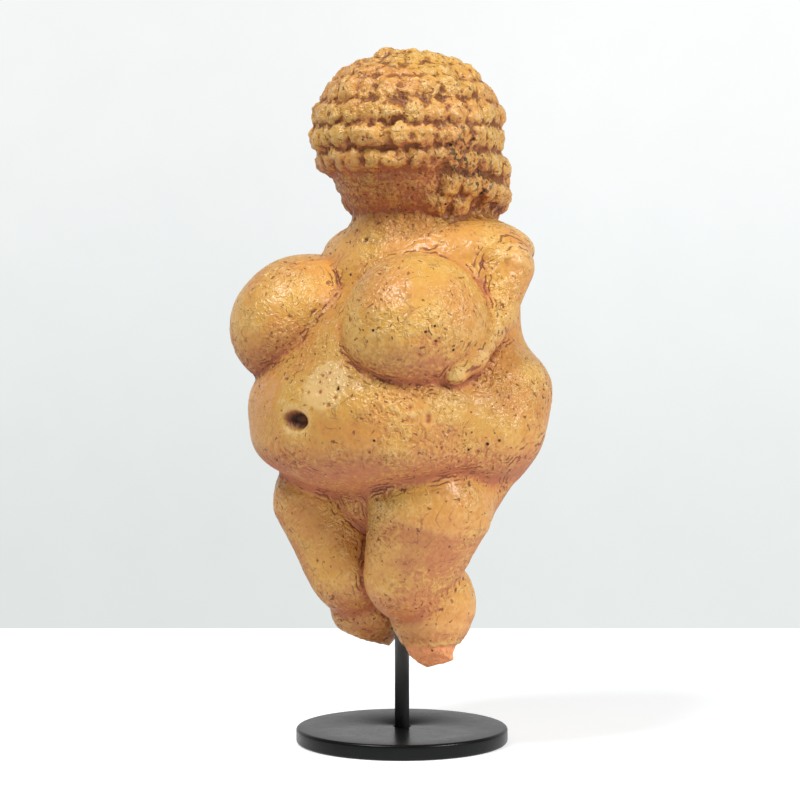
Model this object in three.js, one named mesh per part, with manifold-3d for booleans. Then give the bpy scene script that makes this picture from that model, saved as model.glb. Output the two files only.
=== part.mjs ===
// A small cast figure of a full-bodied woman in an old, simple carved style: a bead-capped head with a blank face,
// thin arms that end at the sides of the belly, and legs that end in broken stubs. It is held up by a round rod in a
// round metal foot. Millimetres, +Z up, origin at the centre of the foot's underside. The figure faces -Y and its
// own left side is +X.
import * as THREE from 'three';
import Module from 'manifold-3d';
import { mergeVertices } from 'three/addons/utils/BufferGeometryUtils.js';

const wasm = await Module();
wasm.setup();

// The foot and the rod.
const footDiameter = 38;
const footThickness = 2.8;
const footEdgeRound = 0.5;
const footSides = 40;
const rodDiameter = 2.6;
const rodSides = 16;
const rodChamfer = 0.3;
const rodSeatDepth = 1.8;
const rodClearance = 0.3;

// The figure: its height from the lower broken leg end to the crown, the clear height under it, and the rod's reach
// inside it.
const figureHeight = 111;
const figureLift = 11.4;
const rodReachInside = 30;

// Everything below, down to the assembly, is in shares of the figure's height, measured from the lower leg end.
// A mass is an ellipsoid: its centre and its half-sizes. Those with an X offset are mirrored to the other side.
const masses = {
  chest: [[0, 0.012, 0.600], [0.190, 0.122, 0.112]],
  yoke: [[0, 0.060, 0.665], [0.206, 0.120, 0.066]],
  upperBack: [[0, 0.075, 0.560], [0.162, 0.092, 0.130]],
  hips: [[0, 0.045, 0.443], [0.247, 0.153, 0.116]],
  haunch: [[0.155, 0.015, 0.381], [0.099, 0.104, 0.078]],
  buttock: [[0.098, 0.068, 0.378], [0.108, 0.097, 0.106]],
  flank: [[0.128, 0.030, 0.305], [0.060, 0.060, 0.050]],
  thighBack: [[0.078, 0.022, 0.272], [0.074, 0.088, 0.092]],
  belly: [[0, -0.063, 0.413], [0.229, 0.173, 0.128]],
  bellyLow: [[0, -0.074, 0.362], [0.212, 0.155, 0.076]],
  bellyTop: [[0, -0.048, 0.500], [0.160, 0.128, 0.110]],
  pelvis: [[0, -0.022, 0.285], [0.165, 0.090, 0.080]],
  web: [[0, -0.015, 0.190], [0.034, 0.047, 0.105]],
  knee: [[0.076, -0.067, 0.167], [0.060, 0.046, 0.052]],
  breastUpper: [[0.122, -0.088, 0.566], [0.098, 0.094, 0.092]],
  breastLower: [[0.134, -0.104, 0.540], [0.106, 0.112, 0.096]],
  crown: [[0, 0.012, 0.858], [0.145, 0.146, 0.126]],
  nape: [[0, 0.058, 0.766], [0.128, 0.132, 0.079]],
};

// A limb runs from one point to another and narrows from its first radius to its second.
const limbs = {
  neck: [[0, 0.051, 0.640], [0, 0.050, 0.760], 0.142, 0.104],
  thigh: [[0.109, -0.047, 0.262], [0.063, -0.048, 0.150], 0.099, 0.072],
  calf: [[0.071, -0.017, 0.130], [0.069, -0.010, 0.092], 0.0625, 0.061],
  calfMuscle: [[0.070, 0.010, 0.100], [0.069, 0.006, 0.086], 0.061, 0.056],
  stub: [[0.070, -0.008, 0.072], [0.079, -0.008, -0.010], 0.049, 0.034],
  upperArm: [[0.184, 0.046, 0.638], [0.190, 0.012, 0.568], 0.045, 0.035],
  forearm: [[0.190, 0.012, 0.568], [0.212, -0.068, 0.504], 0.035, 0.028],
  hand: [[0.212, -0.068, 0.504], [0.214, -0.100, 0.480], 0.028, 0.021],
};

// The broken leg ends: for each side, planes under the leg as a slope along X, a slope along Y and a height.
const legEnd = [0.070, -0.008];
const breaks = {
  left: [[-0.45, -0.50, -0.006], [0.30, 0.10, -0.002], [0.60, -0.60, -0.006], [0.05, 0.35, 0.000]],
  right: [[-0.27, -0.27, 0.034], [0.15, 0.10, 0.006], [0.30, -0.32, 0.020], [-0.10, 0.50, 0.010]],
};

const navelCentre = [0, -0.236, 0.402];
const navelRadius = 0.020;

// The cap of beads: tiers at equal angles from the crown, down to the nape behind and to a hairline above the face.
const headCentre = [0, 0.015, 0.850];
const firstTierAngle = 17.5;
const tierPitchAngle = 15;
const tierCount = 9;
const beadWidth = 0.034;
const beadRise = 0.0125;
const beadNotchRise = 0.005;
const beadHalfAngle = 4.2;
const crownBeadRise = 0.016;
const hairlineFrontAngle = 112;
const hairlineBackAngle = 152;
const faceHalfAngle = 62;
const faceEdgeAngle = 12;

// How finely the skin is cut into faces, and the box that holds the body.
const skinCell = 0.0245;
const bodyHalfWidth = masses.hips[1][0] + 0.033;
const bodyFrontToBack = [-0.29, 0.24];
const bodyHeights = [-0.05, 0.90];
const settleSteps = 24;
const cellMargin = 0.05;
const facesAcrossBead = 3;

const sideNames = { 1: 'left', '-1': 'right' };
const axes = [0, 1, 2];
const degrees = Math.PI / 180;
const lerp = (a, b, t) => a + (b - a) * t;
const ease = (t) => {
  const s = Math.min(Math.max(t, 0), 1);
  return s * s * (3 - 2 * s);
};

function softUnion(a, b, blend) {
  const h = Math.max(blend - Math.abs(a - b), 0) / blend;
  return Math.min(a, b) - (h * h * blend) / 4;
}

function softCommon(a, b, blend) {
  return -softUnion(-a, -b, blend);
}

// Distance to an ellipsoid, exact enough near its surface. side is 1 for the figure's left and -1 for its right.
function mass(p, name, side = 1) {
  const [at, half] = masses[name];
  const q = [p[0] - at[0] * side, p[1] - at[1], p[2] - at[2]];
  const k0 = Math.hypot(q[0] / half[0], q[1] / half[1], q[2] / half[2]);
  const k1 = Math.hypot(q[0] / half[0] ** 2, q[1] / half[1] ** 2, q[2] / half[2] ** 2);
  return k1 < 1e-9 ? -Math.min(...half) : (k0 * (k0 - 1)) / k1;
}

function limb(p, name, side = 1) {
  const [from, to, startRadius, endRadius] = limbs[name];
  const a = [from[0] * side, from[1], from[2]];
  const b = [to[0] * side, to[1], to[2]];
  const along = b.map((v, i) => v - a[i]);
  const offset = p.map((v, i) => v - a[i]);
  const dot = along[0] * offset[0] + along[1] * offset[1] + along[2] * offset[2];
  const t = Math.min(Math.max(dot / along.reduce((sum, v) => sum + v * v, 0), 0), 1);
  const away = Math.hypot(...offset.map((v, i) => v - along[i] * t));
  return away - lerp(startRadius, endRadius, t);
}

const both = (shape, blend) => softUnion(shape(1), shape(-1), blend);

function leg(p, side) {
  const thigh = softUnion(limb(p, 'thigh', side), mass(p, 'knee', side), 0.02);
  const calf = softUnion(limb(p, 'calf', side), limb(p, 'calfMuscle', side), 0.03);
  let d = softUnion(thigh, softUnion(calf, limb(p, 'stub', side), 0.012), 0.009);
  for (const [slopeX, slopeY, height] of breaks[sideNames[side]]) {
    const plane = height + slopeX * (p[0] - legEnd[0] * side) + slopeY * (p[1] - legEnd[1]) - p[2];
    d = softCommon(d, plane / Math.hypot(slopeX, slopeY, 1), 0.004);
  }
  return d;
}

function arm(p, side) {
  const bent = softUnion(limb(p, 'upperArm', side), limb(p, 'forearm', side), 0.012);
  return softUnion(bent, limb(p, 'hand', side), 0.01);
}

function breast(p, side) {
  return softUnion(mass(p, 'breastUpper', side), mass(p, 'breastLower', side), 0.05);
}

function head(p) {
  return softUnion(mass(p, 'crown'), mass(p, 'nape'), 0.05);
}

// The body without its head: trunk, belly, legs, breasts and arms, run together with small hollows between them.
function body(p) {
  let d = softUnion(mass(p, 'chest'), mass(p, 'upperBack'), 0.05);
  d = softUnion(d, mass(p, 'yoke'), 0.03);
  const hips = softUnion(mass(p, 'hips'), both((side) => mass(p, 'haunch', side), 0.02), 0.04);
  d = softUnion(d, hips, 0.045);
  d = softUnion(d, limb(p, 'neck'), 0.008);
  const belly = softUnion(softUnion(mass(p, 'belly'), mass(p, 'bellyTop'), 0.05), mass(p, 'bellyLow'), 0.03);
  d = softUnion(d, belly, 0.03);
  d = softUnion(d, both((side) => mass(p, 'buttock', side), 0.01), 0.03);
  let legs = both((side) => leg(p, side), 0.006);
  legs = softUnion(legs, mass(p, 'web'), 0.012);
  legs = softUnion(legs, mass(p, 'pelvis'), 0.006);
  legs = softUnion(legs, both((side) => mass(p, 'thighBack', side), 0.01), 0.03);
  legs = softUnion(legs, both((side) => mass(p, 'flank', side), 0.01), 0.03);
  d = softUnion(d, legs, 0.01);
  d = softUnion(d, both((side) => breast(p, side), 0.006), 0.008);
  return softUnion(d, both((side) => arm(p, side), 0.01), 0.005);
}

// The outermost point of the head's form along a ray from a centre inside it.
function surfacePoint(form, centre, direction) {
  const at = (t) => centre.map((v, i) => v + direction[i] * t);
  let outer = 2 * masses.crown[1][1];
  let inner = outer;
  for (let d = form(at(inner)); d > 0 && inner > 0; d = form(at(inner))) {
    outer = inner;
    inner -= Math.max(d * 0.8, 0.001);
  }
  for (let i = 0; i < 14; i += 1) {
    const middle = (outer + inner) / 2;
    if (form(at(middle)) > 0) outer = middle;
    else inner = middle;
  }
  return at(Math.max((outer + inner) / 2, 0.001));
}

// The direction in which a form's distance grows fastest, which is its surface's outward normal.
function outward(form, p) {
  const step = 0.0005;
  const rise = axes.map((axis) => {
    const ahead = p.map((v, i) => (i === axis ? v + step : v));
    const behind = p.map((v, i) => (i === axis ? v - step : v));
    return form(ahead) - form(behind);
  });
  const length = Math.hypot(...rise);
  return rise.map((v) => v / length);
}

// The point where a form's surface crosses the line between two points, of which the first is inside or not.
function crossing(form, from, to, fromInside) {
  let [near, far] = [0, 1];
  const at = (t) => from.map((v, i) => lerp(v, to[i], t));
  for (let i = 0; i < 12; i += 1) {
    const middle = (near + far) / 2;
    if (form(at(middle)) < 0 === fromInside) near = middle;
    else far = middle;
  }
  return at((near + far) / 2);
}

// A place on a grid and the next three round a square that lies across an axis, turning left about it.
function square(at, axis, step) {
  return [[0, 0], [step, 0], [step, step], [0, step]].map(([u, v]) => {
    const corner = [...at];
    corner[(axis + 1) % 3] += u;
    corner[(axis + 2) % 3] += v;
    return corner;
  });
}

// A closed skin over a form, found on a grid of cells. Each cell that the surface passes through gets one point,
// settled between the planes that touch the form where it crosses the cell's edges, so that creases stay sharp.
// Each crossed edge then gets two faces, between the points of the four cells round it. The middle row of cells
// lies astride the figure's middle plane, so that both sides come out alike.
function gridSkin(form) {
  const side = (Math.ceil(bodyHalfWidth / skinCell) + 0.5) * skinCell;
  const low = [-side, bodyFrontToBack[0], bodyHeights[0]];
  const high = [side, bodyFrontToBack[1], bodyHeights[1]];
  const counts = axes.map((axis) => Math.ceil((high[axis] - low[axis]) / skinCell) + 1);
  const place = (at) => at.map((v, i) => low[i] + v * skinCell);
  const index = ([i, j, k]) => (i * counts[1] + j) * counts[2] + k;
  const grid = [];
  for (let i = 0; i < counts[0]; i += 1) {
    for (let j = 0; j < counts[1]; j += 1) {
      for (let k = 0; k < counts[2]; k += 1) grid.push([i, j, k]);
    }
  }
  const inside = grid.map((at) => form(place(at)) < 0);

  // Where a square has just two opposite corners inside, the skin would meet itself along an edge, so the whole
  // square counts as inside.
  const isTwisted = ([a, b, c, d]) => inside[a] === inside[c] && inside[b] === inside[d] && inside[a] !== inside[b];
  for (let filled = true; filled;) {
    filled = false;
    for (const at of grid) {
      for (const axis of axes) {
        const corners = square(at, axis, 1).map(index);
        if (!isTwisted(corners)) continue;
        corners.forEach((corner) => { inside[corner] = true; });
        filled = true;
      }
    }
  }

  const cells = new Map();
  const quads = [];
  for (const at of grid) {
    for (const axis of axes) {
      const next = at.map((v, i) => (i === axis ? v + 1 : v));
      const starts = inside[index(at)];
      if (next[axis] === counts[axis] || starts === inside[index(next)]) continue;
      const point = crossing(form, place(at), place(next), starts);
      const plane = { point, normal: outward(form, point) };
      const around = square(at, axis, -1).map((corner) => {
        const key = index(corner);
        if (!cells.has(key)) cells.set(key, { corner, planes: [], order: cells.size });
        cells.get(key).planes.push(plane);
        return key;
      });
      quads.push(starts ? around : around.reverse());
    }
  }

  const points = [...cells.values()].map(({ corner, planes }) => {
    // The point stays a little clear of the cell's walls, so that no two cells share one.
    const cellLow = place(corner.map((v) => v + cellMargin));
    const cellHigh = place(corner.map((v) => v + 1 - cellMargin));
    let p = axes.map((axis) => planes.reduce((sum, plane) => sum + plane.point[axis], 0) / planes.length);
    for (let step = 0; step < settleSteps; step += 1) {
      const pull = [0, 0, 0];
      for (const { point, normal } of planes) {
        const gap = point.reduce((sum, v, i) => sum + (v - p[i]) * normal[i], 0);
        axes.forEach((axis) => { pull[axis] += (normal[axis] * gap) / planes.length; });
      }
      p = p.map((v, i) => Math.min(Math.max(v + pull[i], cellLow[i]), cellHigh[i]));
    }
    return p;
  });

  const faces = quads.flatMap((quad) => {
    const [a, b, c, d] = quad.map((key) => cells.get(key).order);
    const across = (one, other) => Math.hypot(...points[one].map((v, i) => v - points[other][i]));
    return across(a, c) < across(b, d) ? [a, b, c, a, c, d] : [a, b, d, b, c, d];
  });
  return solidOf(points, faces);
}

function solidOf(points, faces) {
  return new wasm.Manifold(new wasm.Mesh({
    numProp: 3,
    vertProperties: new Float32Array(points.flat()),
    triVerts: new Uint32Array(faces),
  }));
}

// A closed skin through rings of points, lowest ring first. A ring is a list of its points, each with its share of
// the full turn, turning left seen from above, and rings may hold different numbers of points. The skin closes to
// a point below the first ring and one above the last.
function ringSkin(rings, bottomPoint, topPoint) {
  const points = [bottomPoint];
  const starts = rings.map((ring) => points.push(...ring.map(({ point }) => point)) - ring.length);
  const topIndex = points.push(topPoint) - 1;
  const faces = [];
  rings[0].forEach((_, i) => faces.push(0, 1 + ((i + 1) % rings[0].length), 1 + i));
  for (let r = 0; r + 1 < rings.length; r += 1) {
    const [lower, upper] = [rings[r], rings[r + 1]];
    const turnAt = (ring, i) => ring[i % ring.length].turn + Math.floor(i / ring.length);
    const lowerAt = (i) => starts[r] + (i % lower.length);
    const upperAt = (j) => starts[r + 1] + (j % upper.length);
    for (let i = 0, j = 0; i < lower.length || j < upper.length;) {
      // The ring whose next point comes sooner goes on.
      const lowerNext = turnAt(lower, i + 1) + turnAt(lower, i);
      const upperNext = turnAt(upper, j + 1) + turnAt(upper, j);
      if (j >= upper.length || (i < lower.length && lowerNext < upperNext)) {
        faces.push(lowerAt(i), lowerAt(i + 1), upperAt(j));
        i += 1;
      } else {
        faces.push(lowerAt(i), upperAt(j + 1), upperAt(j));
        j += 1;
      }
    }
  }
  const last = rings.length - 1;
  rings[last].forEach((_, i) => {
    faces.push(starts[last] + i, starts[last] + ((i + 1) % rings[last].length), topIndex);
  });
  return solidOf(points, faces);
}

const tierAngle = (tier) => firstTierAngle + tierPitchAngle * tier;

function beadsInTier(tier) {
  const radius = masses.crown[1][0] * Math.sin(tierAngle(tier) * degrees);
  return Math.max(Math.round((2 * Math.PI * radius) / beadWidth), 6);
}

// Whether hair grows at an angle down from the crown and an angle round from the middle of the face.
function hasHair(down, round) {
  const fromFront = Math.abs(round > 180 ? round - 360 : round);
  const edge = ease((fromFront - faceHalfAngle) / faceEdgeAngle);
  return down < lerp(hairlineFrontAngle, hairlineBackAngle, edge);
}

// A point of the head's skin, raised by a bead's height or not.
function headPoint(down, round, rise) {
  const level = Math.sin(down * degrees);
  const direction = [
    Math.sin(round * degrees) * level,
    -Math.cos(round * degrees) * level,
    Math.cos(down * degrees),
  ];
  return surfacePoint(head, headCentre, direction).map((v, i) => v + direction[i] * rise);
}

// One ring of points round the head, in the beads of one tier. A bead is high in its middle and lower on its two
// edges, where the next bead of the tier begins, and every second tier is shifted by half a bead.
function headRing(down, tier, high) {
  const beads = beadsInTier(tier);
  const shift = ((tier % 2) * facesAcrossBead) / 2;
  return Array.from({ length: beads * facesAcrossBead }, (_, i) => {
    const column = i + (shift % 1);
    const turn = column / (beads * facesAcrossBead);
    const bead = Math.floor((column - shift) / facesAcrossBead);
    const middle = (number) => ((number + 0.5) * facesAcrossBead + shift) / (beads * facesAcrossBead);
    const isThere = (number) => hasHair(tierAngle(tier), middle(number) * 360);
    const onEdge = Math.round(column - shift) % facesAcrossBead === 0;
    const raised = high && isThere(bead) && (!onEdge || isThere(bead - 1));
    const rise = onEdge ? beadNotchRise : beadRise;
    return { turn, point: headPoint(down, turn * 360, raised ? rise : 0) };
  });
}

function headSolid() {
  const lastTier = tierCount - 1;
  const rings = [headRing(tierAngle(lastTier) + tierPitchAngle * 1.6, lastTier, false)];
  for (let tier = lastTier; tier >= 0; tier -= 1) {
    rings.push(headRing(tierAngle(tier) + tierPitchAngle / 2, tier, false));
    rings.push(headRing(tierAngle(tier) + beadHalfAngle, tier, true));
    rings.push(headRing(tierAngle(tier) - beadHalfAngle, tier, true));
  }
  rings.push(headRing(tierAngle(0) - tierPitchAngle / 2, 0, false));
  return ringSkin(rings, headPoint(180, 0, 0), headPoint(0, 0, crownBeadRise));
}

// A closed three.js geometry as a solid, for cutting and joining.
function toSolid(geometry) {
  const bare = geometry.clone();
  bare.deleteAttribute('normal');
  bare.deleteAttribute('uv');
  const merged = mergeVertices(bare, 1e-5);
  return new wasm.Manifold(new wasm.Mesh({
    numProp: 3,
    vertProperties: new Float32Array(merged.attributes.position.array),
    triVerts: new Uint32Array(merged.index.array),
  }));
}

function toGeometry(solid) {
  const mesh = solid.getMesh();
  const geometry = new THREE.BufferGeometry();
  geometry.setAttribute('position', new THREE.BufferAttribute(new Float32Array(mesh.vertProperties), 3));
  geometry.setIndex(new THREE.BufferAttribute(new Uint32Array(mesh.triVerts), 1));
  const shown = geometry.toNonIndexed();
  shown.computeVertexNormals();
  return shown;
}

// A closed turned form about the Z axis, from its outline as radius and height.
function turned(outline, sides) {
  const geometry = new THREE.LatheGeometry(outline.map(([r, z]) => new THREE.Vector2(r, z)), sides);
  return geometry.rotateX(Math.PI / 2);
}

// The heights that the pieces share, in millimetres.
const seatFloor = footThickness - rodSeatDepth;
const figureBottom = footThickness + figureLift;
const rodTop = figureBottom + rodReachInside;
const boreRadius = rodDiameter / 2 + rodClearance;

function footGeometry() {
  const outer = footDiameter / 2;
  const inset = outer - footEdgeRound;
  return turned([
    [0, 0],
    [inset, 0],
    [outer, footEdgeRound],
    [outer, footThickness - footEdgeRound],
    [inset, footThickness],
    [boreRadius, footThickness],
    [boreRadius, seatFloor],
    [0, seatFloor],
  ], footSides);
}

function rodGeometry() {
  const radius = rodDiameter / 2;
  return turned([
    [0, seatFloor],
    [radius, seatFloor],
    [radius, rodTop - rodChamfer],
    [radius - rodChamfer, rodTop],
    [0, rodTop],
  ], rodSides);
}

function figurineGeometry() {
  const navel = new THREE.SphereGeometry(navelRadius, 12, 8).translate(...navelCentre);
  const carved = gridSkin(body).add(headSolid()).subtract(toSolid(navel));
  const bore = turned([
    [0, footThickness],
    [boreRadius, footThickness],
    [boreRadius, rodTop + rodClearance],
    [0, rodTop + rodClearance],
  ], rodSides);
  const placed = carved.scale([figureHeight, figureHeight, figureHeight]).translate([0, 0, figureBottom]);
  return toGeometry(placed.subtract(toSolid(bore)));
}

const castStone = new THREE.MeshStandardMaterial({ color: 0xc98a48, roughness: 0.62, metalness: 0 });
const blackMetal = new THREE.MeshStandardMaterial({ color: 0x1c1c1c, roughness: 0.42, metalness: 0.3 });

function piece(name, geometry, material) {
  const mesh = new THREE.Mesh(geometry, material);
  mesh.name = name;
  return mesh;
}

const group = new THREE.Group();
group.add(piece('figurine', figurineGeometry(), castStone));
group.add(piece('stand_rod', rodGeometry(), blackMetal));
group.add(piece('stand_foot', footGeometry(), blackMetal));

export default group;
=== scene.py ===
# A cast venus figurine on its rod and foot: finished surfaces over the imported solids, in metres.
import math
import bpy
import numpy as np
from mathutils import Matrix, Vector


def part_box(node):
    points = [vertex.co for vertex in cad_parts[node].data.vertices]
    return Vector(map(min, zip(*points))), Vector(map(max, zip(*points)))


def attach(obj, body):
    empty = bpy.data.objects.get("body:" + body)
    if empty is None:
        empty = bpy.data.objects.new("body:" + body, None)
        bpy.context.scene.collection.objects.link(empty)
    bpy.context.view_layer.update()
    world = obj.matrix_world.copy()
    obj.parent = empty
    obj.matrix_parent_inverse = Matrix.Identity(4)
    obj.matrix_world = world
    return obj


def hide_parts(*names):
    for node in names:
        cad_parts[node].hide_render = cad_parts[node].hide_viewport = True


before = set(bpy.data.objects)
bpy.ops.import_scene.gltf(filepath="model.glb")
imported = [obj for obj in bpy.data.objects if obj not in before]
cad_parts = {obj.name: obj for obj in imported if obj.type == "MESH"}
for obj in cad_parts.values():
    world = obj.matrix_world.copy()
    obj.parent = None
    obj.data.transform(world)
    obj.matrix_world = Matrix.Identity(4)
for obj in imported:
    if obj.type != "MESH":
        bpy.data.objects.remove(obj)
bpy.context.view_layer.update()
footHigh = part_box("stand_foot")[1]
rodLow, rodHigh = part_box("stand_rod")
print("frame loaded:", sorted(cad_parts))

millimetre = 0.001


# A node's output, in a geometry or a shader tree, that takes part in plain sums: each adds a Math node
class Field:
    def __init__(self, tree, socket):
        self.tree = tree
        self.socket = socket

    def __add__(self, other):
        return calc(self.tree, "ADD", self, other)

    def __sub__(self, other):
        return calc(self.tree, "SUBTRACT", self, other)

    def __rsub__(self, other):
        return calc(self.tree, "SUBTRACT", other, self)

    def __mul__(self, other):
        return calc(self.tree, "MULTIPLY", self, other)

    def __truediv__(self, other):
        return calc(self.tree, "DIVIDE", self, other)

    def __rtruediv__(self, other):
        return calc(self.tree, "DIVIDE", other, self)

    def __abs__(self):
        return calc(self.tree, "ABSOLUTE", self)

    def remap(self, fromLow, fromHigh, toLow=0.0, toHigh=1.0, kind="SMOOTHSTEP"):
        inputs = {"Value": self, "From Min": fromLow, "From Max": fromHigh, "To Min": toLow, "To Max": toHigh}
        return addField(self.tree, "ShaderNodeMapRange", inputs, interpolation_type=kind)


def feed(tree, socket, value):
    if isinstance(value, Field):
        value = value.socket
    if isinstance(value, bpy.types.NodeSocket):
        tree.links.new(value, socket)
    else:
        socket.default_value = value


def addNode(tree, kind, inputs=None, **settings):
    made = tree.nodes.new(kind)
    for name, value in settings.items():
        setattr(made, name, value)
    for socket, value in (inputs or {}).items():
        feed(tree, made.inputs[socket], value)
    return made


def addField(tree, kind, inputs=None, output=0, **settings):
    return Field(tree, addNode(tree, kind, inputs, **settings).outputs[output])


def calc(tree, operation, *values):
    return addField(tree, "ShaderNodeMath", dict(enumerate(values)), operation=operation)


def calcVector(tree, operation, *values):
    inputs = {0: values[0], "Scale": values[1]} if operation == "SCALE" else dict(enumerate(values))
    output = "Value" if operation in ("LENGTH", "DOT_PRODUCT") else "Vector"
    return addField(tree, "ShaderNodeVectorMath", inputs, output, operation=operation)


# Of the sockets with the same name, the one for the node's present kind of data
def enabledSocket(sockets, name):
    return next(socket for socket in sockets if socket.name == name and socket.enabled)


def highest(first, *others):
    for other in others:
        first = calc(first.tree, "MAXIMUM", first, other)
    return first


def splitVector(tree, vector):
    return [Field(tree, socket) for socket in addNode(tree, "ShaderNodeSeparateXYZ", {0: vector}).outputs]


def noise(tree, vector, scale, detail=2.0, roughness=0.5, distortion=0.0, output=0):
    inputs = {"Vector": vector, "Scale": scale, "Detail": detail, "Roughness": roughness,
              "Distortion": distortion}
    return addField(tree, "ShaderNodeTexNoise", inputs, output)


# A push to the sides, of up to half the reach each way, that wanders over the surface
def wander(tree, vector, scale, reach):
    cloud = noise(tree, vector, scale, output="Color")
    return calcVector(tree, "SCALE", calcVector(tree, "SUBTRACT", cloud, (0.5, 0.5, 0.5)), reach)


# Cells: the distance from the middle of each, and a random share of its own
def cells(tree, vector, scale, channel="Red"):
    made = addNode(tree, "ShaderNodeTexVoronoi", {"Vector": vector, "Scale": scale})
    split = "FunctionNodeSeparateColor" if tree.type == "GEOMETRY" else "ShaderNodeSeparateColor"
    return Field(tree, made.outputs["Distance"]), addField(tree, split, {0: made.outputs["Color"]}, channel)


# A tree or group with an input for each value, and for geometry the mesh and its material too
def newTree(name, kind, values, outputs=()):
    tree = bpy.data.node_groups.new(name, kind)
    addSocket = tree.interface.new_socket
    if kind == "GeometryNodeTree":
        addSocket("Geometry", in_out="INPUT", socket_type="NodeSocketGeometry")
        addSocket("Geometry", in_out="OUTPUT", socket_type="NodeSocketGeometry")
        addSocket("Material", in_out="INPUT", socket_type="NodeSocketMaterial")
    socketKinds = {float: "NodeSocketFloat", int: "NodeSocketInt", tuple: "NodeSocketVector"}
    for label, value in values.items():
        addSocket(label, in_out="INPUT", socket_type=socketKinds[type(value)]).default_value = value
    for label in outputs:
        addSocket(label, in_out="OUTPUT", socket_type="NodeSocketFloat")
    given = {socket.name: Field(tree, socket) for socket in tree.nodes.new("NodeGroupInput").outputs}
    return tree, given, tree.nodes.new("NodeGroupOutput").inputs


def joinGeometry(tree, *parts):
    joined = tree.nodes.new("GeometryNodeJoinGeometry")
    for part in parts:
        feed(tree, joined.inputs[0], part)
    return Field(tree, joined.outputs[0])


def endInMaterial(tree, given, result, geometry):
    dressed = addField(tree, "GeometryNodeSetMaterial", {"Geometry": geometry, "Material": given["Material"]})
    feed(tree, result[0], dressed)
    return tree


# Mesh helpers
def meshPiece(name, points, faces):
    mesh = bpy.data.meshes.new(name)
    mesh.from_pydata(np.asarray(points, float).tolist(), [], [list(map(int, face)) for face in faces])
    piece = bpy.data.objects.new(name, mesh)
    bpy.context.scene.collection.objects.link(piece)
    mesh.shade_smooth()
    return piece


def bake(piece):
    bpy.context.view_layer.update()
    graph = bpy.context.evaluated_depsgraph_get()
    made = piece.evaluated_get(graph)
    mesh = bpy.data.meshes.new_from_object(made, preserve_all_data_layers=True, depsgraph=graph)
    piece.modifiers.clear()
    piece.data = mesh
    mesh.shade_smooth()
    return piece


def addTree(piece, tree, values):
    modifier = piece.modifiers.new(tree.name, "NODES")
    modifier.node_group = tree
    places = {item.name: item.identifier for item in tree.interface.items_tree if item.in_out == "INPUT"}
    for label, value in values.items():
        modifier[places[label]] = value


def pointsAndNormals(mesh):
    points, normals = (np.zeros(len(mesh.vertices) * 3, np.float32) for _ in range(2))
    mesh.vertices.foreach_get("co", points)
    mesh.vertex_normals.foreach_get("vector", normals)
    return points.reshape(-1, 3), normals.reshape(-1, 3)


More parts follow.
